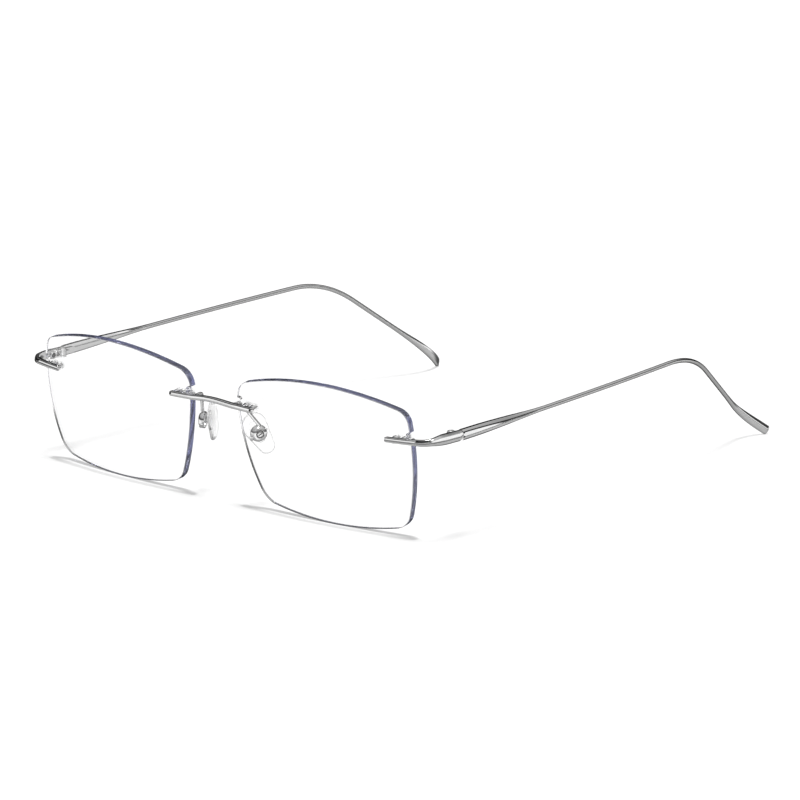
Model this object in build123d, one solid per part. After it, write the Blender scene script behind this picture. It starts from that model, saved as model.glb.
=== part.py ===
from build123d import *
import os
from math import cos, radians, sin, sqrt

# Rimless eyeglasses, standing open on the lens bottoms and the temple tips.
# Millimetres. +Z is up, the front faces -Y, the wearer's left side is +X, and the floor is Z = 0.
# The +X half is modelled, and the -X half is its mirror image.

# ---- frame ----
# The shapes are drawn with Y = 0 at the middle of the lenses. This is the middle of the footprint.
FOOTPRINT_MIDDLE_Y = 75.27

# ---- lenses ----
LENS_MIDDLE = Vector(36.4, 0, 18.22)
LENS_WRAP = radians(4.1)
LENS_LEAN = radians(8.5)
LENS_RADIUS = 163.0
LENS_THICKNESS = 1.9
LENS_CORNERS = {"top_inner": (-28.35, 13.95), "top_outer": (26.05, 14.35),
                "bottom_outer": (23.45, -16.4), "bottom_inner": (-21.3, -16.1)}
LENS_CORNER_RADII = {"top_inner": 5.0, "top_outer": 4.4, "bottom_outer": 5.8, "bottom_inner": 6.3}
TOP_BULGE = 4.45
OUTER_BULGE = 2.2
BOTTOM_BULGE = 2.35
INNER_BULGE = 1.95
LENS_EDGE_BREAK = 0.12

# ---- fittings: two posts in holes, and a peg in a notch at the lens edge ----
OUTER_FITTING_V = 7.2
INNER_FITTING_V = 8.15
OUTER_EDGE_U = 27.0
INNER_EDGE_U = -28.2
HOLE_INSETS = (2.5, 5.0)
HOLE_RADIUS = 0.9
POST_RADIUS = 0.45
SLEEVE_GAP = 0.02
SLEEVE_PROUD = 1.3
SLEEVE_WEB = 0.4
NOTCH_DEPTH = 1.3
NOTCH_BELOW = 0.9
NOTCH_ABOVE = 2.3

# ---- bars on the lens fronts ----
BAR_DEPTH = 1.15
BAR_HEIGHT = 1.4

# ---- bridge ----
BRIDGE_HEIGHT = 26.6
BRIDGE_ARCH = 0.6
BRIDGE_BOW = 0.5
BRIDGE_FOOT_END = 13.8

# ---- endpieces ----
ENDPIECE_FOOT_END = 56.9
ENDPIECE_OUTER_X = 69.6
ENDPIECE_THICKNESS = 1.6
ENDPIECE_FOOT_Z = 25.7
ENDPIECE_BACK_Y = 15.75
SIDE_LOW_Z = 24.85
SIDE_HIGH_Z = 27.45
CORNER_START_X = 63.5
CORNER_END_Y = 9.5
CHIN_CUT = 0.6
CORNER_PIN_RADIUS = 0.4
CORNER_PIN_Y = 6.6
CORNER_PIN_Z = 26.05

# ---- hinges ----
HINGE_X = 66.9
HINGE_Y = 14.2
HINGE_Z = 26.2
KNUCKLE_RADIUS = 1.0
KNUCKLE_HALF_HEIGHT = 1.0
CENTRE_KNUCKLE_HALF = 0.4
WASHER_THICKNESS = 0.12
HINGE_SLACK = 0.02
HINGE_BORE_RADIUS = 0.54
HINGE_SCREW_RADIUS = 0.5
SCREW_HEAD_RADIUS = 0.88
SCREW_HEAD_HEIGHT = 0.2
SCREW_SLOT_WIDTH = 0.26
LEAF_THICKNESS = 0.5
LEAF_START_Y = 8.6
LEAF_END_Y = 12.9
LEAF_SCREW_Y = 11.3
LEAF_SCREW_Z = 26.0
LEAF_SCREW_RADIUS = 0.45
LEAF_HEAD_RADIUS = 1.0
LEAF_SOCKET_RADIUS = 0.5
TONGUE_START_Y = 16.15
TONGUE_END_Y = 19.4
TONGUE_HALF_HEIGHT = 0.8

# ---- temples ----
TEMPLE_START = Vector(68.8, 15.95, 26.2)
TEMPLE_HEIGHT = 2.75
TEMPLE_THICKNESS = 1.6
WIRE_DIAMETER = 1.25
TAPER_START = 9.0
TAPER_END = 33.5
FRONT_LENGTH = 85.4
BEND_LENGTH = 21.6
DROP_LENGTH = 22.4
TIP_LENGTH = 16.8
FRONT_PITCH = 2.008
DROP_PITCH = -35.0
TIP_PITCH = -34.0
START_YAW = 0.1
FRONT_YAW = -4.55
DROP_YAW = -16.3
TIP_YAW = 28.2
PADDLE_START = 122.0
PADDLE_HEIGHT = 2.6
PADDLE_THICKNESS = 1.1
PADDLE_END_ROUND = 0.8

# ---- nose pads ----
PAD_PIVOT = Vector(8.8, 7.1, 18.8)
PAD_UP = Vector(-0.28, -0.43, 0.86).normalized()
PAD_OUTWARD = Vector(0.855, -0.518, 0.02)
PAD_TOP_RADIUS = 3.3
PAD_BOTTOM_RADIUS = 2.1
PAD_TOP_CENTRE = 1.9
PAD_BOTTOM_CENTRE = -4.6
PAD_SHIFT_BACK = 0.3
PAD_THICKNESS = 2.0
PAD_BACK = -0.1
PAD_FRONT_ROUND = 1.1
PAD_BACK_ROUND = 0.5
CUP_RADIUS = 2.2
CUP_WALL = 0.45
CUP_FRONT = 0.95
CUP_BACK = 2.75
CUP_ROUND = 0.5
PAD_SCREW_DEPTH = 1.6
PAD_SCREW_RADIUS = 0.36
LUG_BORE_RADIUS = 0.4
ARM_RADIUS = 0.45
ARM_START = Vector(6.7, -1.3, 26.8)
ARM_TOP = Vector(7.2, 2.6, 27.0)
ARM_END = Vector(10.35, 6.25, 20.9)
ARM_BEND = 1.6


# ---------------------------------------------------------------- frames and curves

u_axis = Vector(cos(LENS_WRAP), sin(LENS_WRAP), 0)
level_back = Vector(-sin(LENS_WRAP), cos(LENS_WRAP), 0)
v_axis = Vector(0, 0, 1) * cos(LENS_LEAN) - level_back * sin(LENS_LEAN)
front_axis = u_axis.cross(v_axis)
lens_plane = Plane(origin=LENS_MIDDLE, x_dir=u_axis, z_dir=front_axis)
ball_middle = LENS_MIDDLE - front_axis * LENS_RADIUS


def lens_face_y(x, z):
    """Y of the lens's front surface at a place in the front view."""
    across = x - ball_middle.X
    up = z - ball_middle.Z
    return ball_middle.Y - sqrt(LENS_RADIUS ** 2 - across ** 2 - up ** 2)


def on_lens(u, v, out=0.0):
    """The point at (u, v) on the lens's front surface, moved out towards the front."""
    sag = (u * u + v * v) / (2 * LENS_RADIUS)
    return lens_plane.from_local_coords(Vector(u, v, out - sag))


def mirrored(solid):
    return mirror(solid, about=Plane.YZ)


def rod(plane, radius, low, high):
    """A cylinder along a plane's normal, between two offsets from the plane."""
    return extrude(plane.offset(low) * Circle(radius), high - low)


# ---------------------------------------------------------------- lens

def lens_outline():
    corners = LENS_CORNERS
    sides = [SagittaArc(corners["top_inner"], corners["top_outer"], TOP_BULGE),
             SagittaArc(corners["top_outer"], corners["bottom_outer"], OUTER_BULGE),
             SagittaArc(corners["bottom_outer"], corners["bottom_inner"], BOTTOM_BULGE),
             SagittaArc(corners["bottom_inner"], corners["top_inner"], INNER_BULGE)]
    face = make_face(sides)
    for name, radius in LENS_CORNER_RADII.items():
        corner = Vector(*corners[name])
        nearest = min(face.vertices(), key=lambda vertex: (Vector(*vertex) - corner).length)
        face = fillet(nearest, radius)
    return face


def lens_prism(front, back):
    """The lens outline swept through a depth, from front to back of the lens plane."""
    return extrude(lens_plane.offset(-back) * lens_outline(), front + back)


def fitting_planes(edge_u, inward, v):
    """Planes facing front at the holes and at the notch of one fitting."""
    places = [edge_u + inward * inset for inset in HOLE_INSETS]
    places.append(edge_u + inward * (NOTCH_DEPTH - HOLE_RADIUS))
    return [Plane(origin=on_lens(u, v), x_dir=u_axis, z_dir=front_axis) for u in places]


OUTER_PLANES = fitting_planes(OUTER_EDGE_U, -1, OUTER_FITTING_V)
INNER_PLANES = fitting_planes(INNER_EDGE_U, 1, INNER_FITTING_V)


def notch_tool(plane, inward, size):
    """A slot open at the lens edge, as a solid to cut or to fill it with."""
    half = HOLE_RADIUS + size
    low = -NOTCH_BELOW - size
    high = NOTCH_ABOVE + size
    slot = Pos(-inward * 2, (low + high) / 2) * Rectangle(4, high - low)
    nose = Pos(0, (low + high) / 2) * RectangleRounded(2 * half, high - low, 0.6)
    return extrude(plane.offset(-6) * (slot + nose), 12)


def make_lens():
    blank = lens_prism(2, 12)
    ball = Pos(*ball_middle) * Sphere(LENS_RADIUS)
    hollow = Pos(*ball_middle) * Sphere(LENS_RADIUS - LENS_THICKNESS)
    lens = (blank & ball) - hollow
    rims = [edge for edge in lens.edges() if edge.length > 5]
    lens = chamfer(rims, LENS_EDGE_BREAK)
    for planes, inward in ((OUTER_PLANES, -1), (INNER_PLANES, 1)):
        for plane in planes[:2]:
            lens -= rod(plane, HOLE_RADIUS, -6, 6)
        lens -= notch_tool(planes[2], inward, 0)
    return lens


def lens_keepout():
    """Everything behind the lens's front surface, within the lens outline."""
    ball = Pos(*ball_middle) * Sphere(LENS_RADIUS)
    return lens_prism(2, 20) & ball


# ---------------------------------------------------------------- fittings

def make_posts(planes):
    """The posts on a bar's back face, which pass through the lens, and the edge peg."""
    long_post = LENS_THICKNESS + SLEEVE_PROUD
    posts = [rod(plane, POST_RADIUS, -long_post, 0.5) for plane in planes[:2]]
    posts.append(rod(planes[2], POST_RADIUS, -LENS_THICKNESS, 0.5))
    return posts


def make_sleeve(planes, inward):
    """The clear sleeve: two tubes joined by a web behind the lens, and the notch's filling."""
    back = LENS_THICKNESS + SLEEVE_PROUD
    middle = (planes[0].origin + planes[1].origin) / 2
    web_plane = Plane(origin=middle, x_dir=u_axis, z_dir=front_axis)
    span = HOLE_INSETS[1] - HOLE_INSETS[0]
    web_shape = SlotCenterToCenter(span, 2 * (HOLE_RADIUS + 0.25))
    web_low = -LENS_THICKNESS - SLEEVE_WEB - 0.05
    tubes = extrude(web_plane.offset(web_low) * web_shape, SLEEVE_WEB)
    for plane in planes[:2]:
        tubes += rod(plane, HOLE_RADIUS - SLEEVE_GAP, -back, -0.05)
    bar_zone = lens_prism(0.0, 6)
    filling = notch_tool(planes[2], inward, -SLEEVE_GAP) & bar_zone
    ball = Pos(*ball_middle) * Sphere(LENS_RADIUS)
    hollow = Pos(*ball_middle) * Sphere(LENS_RADIUS - LENS_THICKNESS)
    filling = (filling & ball) - hollow
    sleeve = tubes + filling
    for plane in planes:
        sleeve -= rod(plane, POST_RADIUS, -8, 2)
    return sleeve


# ---------------------------------------------------------------- bridge

def make_bridge(keepout):
    edge = abs(LENS_MIDDLE.X + INNER_EDGE_U)
    end = BRIDGE_FOOT_END
    half_foot = (edge + end) / 2
    front_y = [lens_face_y(x, BRIDGE_HEIGHT) - BAR_DEPTH for x in (edge, half_foot, end)]
    right = [(edge, front_y[0]), (half_foot, front_y[1]), (end, front_y[2])]
    left = [(-x, y) for x, y in reversed(right)]
    front_points = left + [(0, front_y[0] - BRIDGE_BOW)] + right
    back_points = [(x, y + BAR_DEPTH + 0.3 * (abs(x) > edge)) for x, y in front_points]
    front = Spline(*front_points)
    back = Spline(*back_points)
    plan = make_face([front, back, Line(front @ 0, back @ 0), Line(front @ 1, back @ 1)])

    half = BAR_HEIGHT / 2
    centre_points = [(-end, 0), (-edge, 0), (0, BRIDGE_ARCH), (edge, 0), (end, 0)]
    upper = Spline(*[(x, z + half) for x, z in centre_points], tangents=[(1, 0), (1, 0)])
    lower = Spline(*[(x, z - half) for x, z in centre_points], tangents=[(1, 0), (1, 0)])
    ends = [ThreePointArc((side * end, -half), (side * (end + half), 0), (side * end, half))
            for side in (-1, 1)]
    front_view = Plane(origin=(0, 0, BRIDGE_HEIGHT), x_dir=(1, 0, 0), z_dir=(0, -1, 0))
    elevation = extrude(front_view.offset(-10) * make_face([upper, lower, *ends]), 20)

    long_end = end + half
    stretch = long_end / end
    plan = scale(plan, by=(stretch, 1, 1))
    bar = extrude(Plane.XY.offset(BRIDGE_HEIGHT - 3) * plan, 6) & elevation
    bar = bar - keepout - mirrored(keepout)
    for post in make_posts(INNER_PLANES):
        own_part = post - lens_front_zone()
        bar = bar + own_part + mirrored(own_part)
    return bar


def lens_front_zone():
    """The space in front of a bar, which posts must not reach."""
    return Pos(36, -20, 26) * Box(80, 30, 10)


# ---------------------------------------------------------------- endpiece

def endpiece_plan():
    """The endpiece seen from above: a bar on the lens, a round corner and a straight side."""
    outer = ENDPIECE_OUTER_X
    inner = outer - ENDPIECE_THICKNESS
    depth = BAR_DEPTH + 0.3
    half_foot = (ENDPIECE_FOOT_END + CORNER_START_X) / 2
    front_points = [(x, lens_face_y(x, ENDPIECE_FOOT_Z) - BAR_DEPTH)
                    for x in (ENDPIECE_FOOT_END, half_foot, CORNER_START_X)]
    back_points = [(x, y + depth) for x, y in front_points]
    front_y = front_points[-1][1]
    front = Spline(*front_points)
    corner_front = Spline(front @ 1, (67.2, front_y + 1.1), (outer - 0.45, 5.6), (outer, CORNER_END_Y),
                          tangents=[front % 1, Vector(0, 1, 0)])
    back = Spline(*back_points)
    corner_back = Spline(back @ 1, (66.3, front_y + 2.1), (inner - 0.25, 5.6), (inner, 8.0),
                         tangents=[back % 1, Vector(0, 1, 0)])
    butt = [(outer, ENDPIECE_BACK_Y), (inner, ENDPIECE_BACK_Y)]
    return make_face([front, corner_front, Line(corner_front @ 1, butt[0]), Line(*butt),
                      Line(butt[1], corner_back @ 1), corner_back, back, Line(front @ 0, back @ 0)])


def endpiece_side_view():
    """The endpiece seen from the side: it grows from the bar's height to the hinge's height."""
    start_y, level_y, rise_y, full_y = -4.0, 1.5, 5.0, 11.25
    low_z = ENDPIECE_FOOT_Z - BAR_HEIGHT / 2
    high_z = ENDPIECE_FOOT_Z + BAR_HEIGHT / 2
    chin_y = ENDPIECE_BACK_Y - CHIN_CUT
    chin_z = SIDE_LOW_Z + CHIN_CUT
    low = Spline((start_y, low_z), (level_y, low_z), (rise_y, 25.3), (full_y, SIDE_LOW_Z),
                 tangents=[(1, 0), (1, 0)])
    high = Spline((start_y, high_z), (level_y, high_z), (rise_y, 26.62), (full_y, SIDE_HIGH_Z),
                  tangents=[(1, 0), (1, 0)])
    return make_face([low, high, Line((start_y, low_z), (start_y, high_z)),
                      Line((full_y, SIDE_LOW_Z), (chin_y, SIDE_LOW_Z)),
                      Line((chin_y, SIDE_LOW_Z), (ENDPIECE_BACK_Y, chin_z)),
                      Line((ENDPIECE_BACK_Y, chin_z), (ENDPIECE_BACK_Y, SIDE_HIGH_Z)),
                      Line((ENDPIECE_BACK_Y, SIDE_HIGH_Z), (full_y, SIDE_HIGH_Z))])


def make_endpiece(keepout):
    side_plane = Plane(origin=(80, 0, 0), x_dir=(0, 1, 0), z_dir=(1, 0, 0))
    body = extrude(Plane.XY.offset(20) * endpiece_plan(), 12)
    body = body & extrude(side_plane * endpiece_side_view(), -30)
    end_face = body.faces().sort_by(Axis.X)[0]
    level_edges = [edge for edge in end_face.edges() if abs((edge % 0.5).Z) < 0.3]
    body = fillet(level_edges, BAR_HEIGHT / 2 - 0.05) - keepout
    for post in make_posts(OUTER_PLANES):
        body = body + (post - lens_front_zone())
    return body


# ---------------------------------------------------------------- hinge

hinge_plane = Plane(origin=(HINGE_X, HINGE_Y, HINGE_Z))
SIDE_INNER_X = ENDPIECE_OUTER_X - ENDPIECE_THICKNESS
GAP_LOW = CENTRE_KNUCKLE_HALF + WASHER_THICKNESS + 2 * HINGE_SLACK


def box_between(low, high):
    middle = [(a + b) / 2 for a, b in zip(low, high)]
    size = [b - a for a, b in zip(low, high)]
    return Pos(*middle) * Box(*size)


def make_front_leaf():
    """The leaf on the endpiece, with the top and bottom knuckles."""
    margin = 0.15
    plate = box_between((SIDE_INNER_X - LEAF_THICKNESS, LEAF_START_Y, SIDE_LOW_Z + margin),
                        (SIDE_INNER_X, LEAF_END_Y, SIDE_HIGH_Z - margin))
    front_edges = plate.edges().filter_by(Axis.X).group_by(Axis.Y)[0]
    leaf = fillet(front_edges, 1.1)
    for low, high in ((-KNUCKLE_HALF_HEIGHT, -GAP_LOW), (GAP_LOW, KNUCKLE_HALF_HEIGHT)):
        leaf += rod(hinge_plane, KNUCKLE_RADIUS, low, high)
        leaf += box_between((HINGE_X, LEAF_END_Y - 0.4, HINGE_Z + low),
                            (SIDE_INNER_X, HINGE_Y + 0.6, HINGE_Z + high))
    leaf -= rod(hinge_plane, HINGE_SCREW_RADIUS, -3, 3)
    leaf -= rod(leaf_screw_plane, LEAF_SCREW_RADIUS, -2, 2)
    return leaf


def make_temple_leaf():
    """The leaf on the temple: the centre knuckle, and a short tongue brazed to the temple's inner face."""
    half = CENTRE_KNUCKLE_HALF
    knuckle = rod(hinge_plane, KNUCKLE_RADIUS, -half, half)
    face_x = TEMPLE_START.X - TEMPLE_THICKNESS / 2
    web = box_between((HINGE_X - 0.35, HINGE_Y, HINGE_Z - half),
                      (SIDE_INNER_X - 0.1, TONGUE_START_Y + 0.45, HINGE_Z + half))
    tongue = box_between((face_x - LEAF_THICKNESS, TONGUE_START_Y, HINGE_Z - TONGUE_HALF_HEIGHT),
                         (face_x, TONGUE_END_Y, HINGE_Z + TONGUE_HALF_HEIGHT))
    back_edges = tongue.edges().filter_by(Axis.X).group_by(Axis.Y)[-1]
    leaf = fillet(back_edges, 0.7) + knuckle + web
    return leaf - rod(hinge_plane, HINGE_BORE_RADIUS, -3, 3)


def make_hinge_screw():
    head_top = KNUCKLE_HALF_HEIGHT + SCREW_HEAD_HEIGHT
    shaft = rod(hinge_plane, HINGE_SCREW_RADIUS, -KNUCKLE_HALF_HEIGHT - 0.15, KNUCKLE_HALF_HEIGHT)
    head = rod(hinge_plane, SCREW_HEAD_RADIUS, KNUCKLE_HALF_HEIGHT, head_top)
    head = fillet(head.edges().group_by(Axis.Z)[-1], 0.1)
    slot = hinge_plane.offset(head_top) * Box(3 * SCREW_HEAD_RADIUS, SCREW_SLOT_WIDTH, SCREW_HEAD_HEIGHT)
    return shaft + head - slot


def make_hinge_washers():
    rings = []
    for side in (-1, 1):
        middle = side * (CENTRE_KNUCKLE_HALF + HINGE_SLACK + WASHER_THICKNESS / 2)
        low = middle - WASHER_THICKNESS / 2
        ring = rod(hinge_plane, KNUCKLE_RADIUS - 0.05, low, low + WASHER_THICKNESS)
        rings.append(ring - rod(hinge_plane, HINGE_BORE_RADIUS, -3, 3))
    return Compound(rings)


leaf_screw_plane = Plane(origin=(SIDE_INNER_X - LEAF_THICKNESS, LEAF_SCREW_Y, LEAF_SCREW_Z),
                         x_dir=(0, 1, 0), z_dir=(-1, 0, 0))


def make_leaf_screw():
    """The socket-headed screw that holds the front leaf to the endpiece."""
    head = rod(leaf_screw_plane, LEAF_HEAD_RADIUS, 0, 0.4)
    head = fillet(head.edges().group_by(Axis.X)[0], 0.18)
    screw = head + rod(leaf_screw_plane, LEAF_SCREW_RADIUS, -1.5, 0.1)
    socket = extrude(leaf_screw_plane.offset(-0.1) * RegularPolygon(LEAF_SOCKET_RADIUS, 6), 1)
    return screw - socket


def make_corner_pin():
    """The small pin at the front of the endpiece's side."""
    plane = Plane(origin=(SIDE_INNER_X - 0.15, CORNER_PIN_Y, CORNER_PIN_Z),
                  x_dir=(0, 1, 0), z_dir=(-1, 0, 0))
    return rod(plane, CORNER_PIN_RADIUS, -0.9, 0.12)


# ---------------------------------------------------------------- temple

ENDS = [0, FRONT_LENGTH, FRONT_LENGTH + BEND_LENGTH, FRONT_LENGTH + BEND_LENGTH + DROP_LENGTH,
        FRONT_LENGTH + BEND_LENGTH + DROP_LENGTH + TIP_LENGTH]
YAWS = [START_YAW, FRONT_YAW, DROP_YAW, DROP_YAW, TIP_YAW]
PITCHES = [FRONT_PITCH, FRONT_PITCH, DROP_PITCH, DROP_PITCH, TIP_PITCH]


def between(s, values):
    """A value along the temple, changing evenly from one end of each stretch to the other."""
    for low, high, a, b in zip(ENDS, ENDS[1:], values, values[1:]):
        if s <= high:
            return a + (b - a) * (s - low) / (high - low)
    return values[-1]


def temple_direction(s):
    yaw = radians(between(s, YAWS))
    pitch = radians(between(s, PITCHES))
    return Vector(sin(yaw) * cos(pitch), cos(yaw) * cos(pitch), sin(pitch))


def temple_point(s):
    """The centre line, by adding up short steps."""
    steps = max(1, round(s / 0.5))
    point = TEMPLE_START
    for index in range(steps):
        point = point + temple_direction((index + 0.5) * s / steps) * (s / steps)
    return point


def blend(s, low, high):
    """0 before low, 1 after high, and a smooth ramp between."""
    t = min(1, max(0, (s - low) / (high - low)))
    return t * t * (3 - 2 * t)


def temple_section(s):
    """Height and thickness of the temple at a distance from the hinge."""
    taper = blend(s, TAPER_START - 6, TAPER_END)
    height = TEMPLE_HEIGHT + (WIRE_DIAMETER - TEMPLE_HEIGHT) * taper
    thickness = TEMPLE_THICKNESS + (WIRE_DIAMETER - TEMPLE_THICKNESS) * taper
    flat = blend(s, PADDLE_START, ENDS[-1] - 2)
    height += (PADDLE_HEIGHT - WIRE_DIAMETER) * flat
    thickness += (PADDLE_THICKNESS - WIRE_DIAMETER) * flat
    short = max(0, 1 - (ENDS[-1] - s) / PADDLE_END_ROUND)
    rounding = sqrt(1 - 0.36 * short * short)
    return height * rounding, thickness * rounding


def temple_plane(s):
    forward = temple_direction(s)
    yaw = radians(between(s, YAWS))
    return Plane(origin=temple_point(s), x_dir=(cos(yaw), -sin(yaw), 0), z_dir=forward)


def make_temple():
    stations = [0, 5, 10, 15, 20, 26, 33.5, 45, 60, 75, 85, 90.5, 96, 101.5, 106.6, 114, 122, 129,
                133, 137, 141]
    stations += [ENDS[-1] - back * PADDLE_END_ROUND for back in (1, 0.6, 0.25, 0)]
    sections = []
    for s in stations:
        height, thickness = temple_section(s)
        corner = min(height, thickness) * (0.28 + 0.19 * blend(s, 3, TAPER_END))
        sections.append(temple_plane(s) * RectangleRounded(thickness, height, corner))
    return loft(sections)


# ---------------------------------------------------------------- nose pad

pad_back_axis = PAD_UP.cross(PAD_OUTWARD).normalized()
pad_plane = Plane(origin=PAD_PIVOT, x_dir=pad_back_axis, z_dir=pad_back_axis.cross(PAD_UP))
pad_screw_plane = Plane(origin=pad_plane.from_local_coords(Vector(0, 0, PAD_SCREW_DEPTH)),
                        x_dir=PAD_UP, z_dir=pad_back_axis)


def pad_depth(thing):
    """How far a face or an edge lies along the pad's axis, away from the nose."""
    return pad_plane.to_local_coords(thing.center()).Z


def make_pad_insert():
    """The stiff core: a plate in the pad's back, and the lug that the screw passes."""
    plate = extrude(pad_plane.offset(PAD_BACK - 0.5) * SlotCenterToCenter(3.4, 2.6, rotation=90), 0.5)
    lug_height = PAD_SCREW_DEPTH + 0.55 - PAD_BACK
    lug = extrude(pad_plane.offset(PAD_BACK) * Rectangle(1.5, 1.25), lug_height)
    end_edges = lug.faces().sort_by(pad_depth)[-1].edges()
    across = [edge for edge in end_edges if abs((edge % 0.5).dot(pad_back_axis)) > 0.9]
    lug = fillet(across, 0.55)
    return plate + lug - rod(pad_screw_plane, LUG_BORE_RADIUS, -3, 3)


def make_nose_pad(insert):
    top = Pos(PAD_SHIFT_BACK, PAD_TOP_CENTRE) * Circle(PAD_TOP_RADIUS)
    bottom = Pos(PAD_SHIFT_BACK, PAD_BOTTOM_CENTRE) * Circle(PAD_BOTTOM_RADIUS)
    outline = make_hull(top.edges() + bottom.edges())
    pad = extrude(pad_plane.offset(PAD_BACK - PAD_THICKNESS) * outline, PAD_THICKNESS)
    pad = fillet(pad.faces().sort_by(pad_depth)[0].edges(), PAD_FRONT_ROUND)
    pad = fillet(pad.faces().sort_by(pad_depth)[-1].edges(), PAD_BACK_ROUND)
    return pad - insert


def make_pad_cup():
    """The round metal box that holds the pad's lug between its walls."""
    cup = rod(pad_plane, CUP_RADIUS, CUP_FRONT, CUP_BACK)
    cup = fillet(cup.faces().sort_by(pad_depth)[-1].edges(), CUP_ROUND)
    cup -= rod(pad_plane, CUP_RADIUS - CUP_WALL, CUP_FRONT - 1, CUP_BACK - 0.4)
    return cup - rod(pad_screw_plane, PAD_SCREW_RADIUS, -4, 4)


def make_pad_screw():
    shaft = rod(pad_screw_plane, PAD_SCREW_RADIUS, -CUP_RADIUS - 0.1, CUP_RADIUS + 0.1)
    head = rod(pad_screw_plane, 0.62, -CUP_RADIUS - 0.35, -CUP_RADIUS - 0.05)
    slot = pad_screw_plane.offset(-CUP_RADIUS - 0.35) * Box(1.6, 0.2, 0.3)
    return shaft + head - slot


def make_pad_arm(bridge, cup):
    route = FilletPolyline(ARM_START, ARM_TOP, ARM_END, radius=ARM_BEND)
    start = Plane(origin=route @ 0, z_dir=route % 0)
    arm = sweep(start * Circle(ARM_RADIUS), path=route)
    inside_cup = rod(pad_plane, CUP_RADIUS - 0.1, CUP_FRONT - 1, CUP_BACK)
    return arm - bridge - cup - inside_cup


# ---------------------------------------------------------------- build

def build_left_side():
    keepout = lens_keepout()
    bridge = make_bridge(keepout)
    insert = make_pad_insert()
    cup = make_pad_cup()
    leaf_screw = make_leaf_screw()
    corner_pin = make_corner_pin()
    lens = make_lens()
    endpiece = make_endpiece(keepout) - leaf_screw - corner_pin
    side = {
        "lens": lens,
        "sleeve_nasal": make_sleeve(INNER_PLANES, 1) - lens - bridge,
        "sleeve_temporal": make_sleeve(OUTER_PLANES, -1) - lens - endpiece,
        "endpiece": endpiece,
        "leaf_screw": leaf_screw,
        "corner_pin": corner_pin,
        "front_leaf": make_front_leaf(),
        "temple_leaf": make_temple_leaf(),
        "hinge_screw": make_hinge_screw(),
        "hinge_washers": make_hinge_washers(),
        "temple": make_temple(),
        "pad_insert": insert,
        "nose_pad": make_nose_pad(insert),
        "pad_cup": cup,
        "pad_screw": make_pad_screw(),
        "pad_arm": make_pad_arm(bridge, cup),
    }
    return bridge, side


def save(solid, name):
    """Write one node, moved forward so that the origin is at the middle of the footprint."""
    export_step(Pos(0, -FOOTPRINT_MIDDLE_Y, 0) * solid, f"parts/{name}.step")


def main():
    os.makedirs("parts", exist_ok=True)
    bridge, side = build_left_side()
    save(bridge, "bridge")
    for name, solid in side.items():
        save(solid, f"{name}_left")
        save(mirrored(solid), f"{name}_right")


main()
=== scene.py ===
import math
import bmesh
import bpy
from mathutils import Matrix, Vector


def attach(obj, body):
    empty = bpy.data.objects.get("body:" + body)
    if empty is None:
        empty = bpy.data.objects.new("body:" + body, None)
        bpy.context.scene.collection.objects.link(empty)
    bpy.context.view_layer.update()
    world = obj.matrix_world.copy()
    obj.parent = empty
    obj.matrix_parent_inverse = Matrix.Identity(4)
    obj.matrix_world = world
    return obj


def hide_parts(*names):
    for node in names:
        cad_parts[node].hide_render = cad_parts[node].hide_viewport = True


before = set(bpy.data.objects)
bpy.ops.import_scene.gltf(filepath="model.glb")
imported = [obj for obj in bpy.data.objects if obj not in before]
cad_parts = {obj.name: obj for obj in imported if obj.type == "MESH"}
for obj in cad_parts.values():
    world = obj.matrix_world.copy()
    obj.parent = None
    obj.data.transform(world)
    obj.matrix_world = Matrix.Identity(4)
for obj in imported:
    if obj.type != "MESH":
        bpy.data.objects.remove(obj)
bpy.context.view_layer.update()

# Rimless eyeglasses. Metres here, but the driving sizes are in millimetres and go through mm().
# +Z is up, the front faces -Y, and the wearer's left side is +X, which is the "_left" side.
# The +X half is drawn, and side = -1 mirrors it.

SIDES = {"left": 1, "right": -1}
# The drawing's Y = 0 is the middle of the lenses. The frame's is the middle of the footprint.
LENS_MIDDLE_Y = -75.27


def mm(x, y, z, side=1):
    """A point of the drawing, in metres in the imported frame."""
    return Vector((side * x, y + LENS_MIDDLE_Y, z)) * 0.001


def smooth(value, low, high):
    """0 before low, 1 after high, and a smooth ramp between."""
    t = min(1, max(0, (value - low) / (high - low)))
    return t * t * (3 - 2 * t)


def mix(a, b, share):
    return a + (b - a) * share


def new_object(name, data):
    """A new object, put in the scene."""
    thing = bpy.data.objects.new(name, data)
    bpy.context.scene.collection.objects.link(thing)
    return thing


def turns(count):
    """Evenly spaced angles of one full turn."""
    return [math.radians(360 * k / count) for k in range(count)]


# ---------------------------------------------------------------- camera, light and floor

CAMERA_AZIMUTH = math.radians(41.43)
CAMERA_ELEVATION = math.radians(13.56)
CAMERA_ROLL = math.radians(0.28)
CAMERA_DISTANCE = 1.7286
CAMERA_TARGET = mm(62.44, 0, 36.96)
CAMERA_LENS = 314.1
CAMERA_SENSOR = 36
CAMERA_CLIP = (0.05, 50)


def make_camera():
    data = bpy.data.cameras.new("camera")
    data.lens = CAMERA_LENS
    data.sensor_width = CAMERA_SENSOR
    data.clip_start, data.clip_end = CAMERA_CLIP
    camera = new_object("camera", data)
    level = math.cos(CAMERA_ELEVATION)
    back = Vector((math.sin(CAMERA_AZIMUTH) * level, -math.cos(CAMERA_AZIMUTH) * level,
                   math.sin(CAMERA_ELEVATION)))
    camera.location = CAMERA_TARGET + back * CAMERA_DISTANCE
    camera.rotation_euler = (math.pi / 2 - CAMERA_ELEVATION, 0, CAMERA_AZIMUTH)
    camera.rotation_euler.rotate_axis("Z", CAMERA_ROLL)
    bpy.context.scene.camera = camera


FLOOR_REACH = 6.0
FLOOR_SHADE = 0.9
FLOOR_ROUGHNESS = 0.9
FLOOR_SHINE = 0.1


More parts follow.
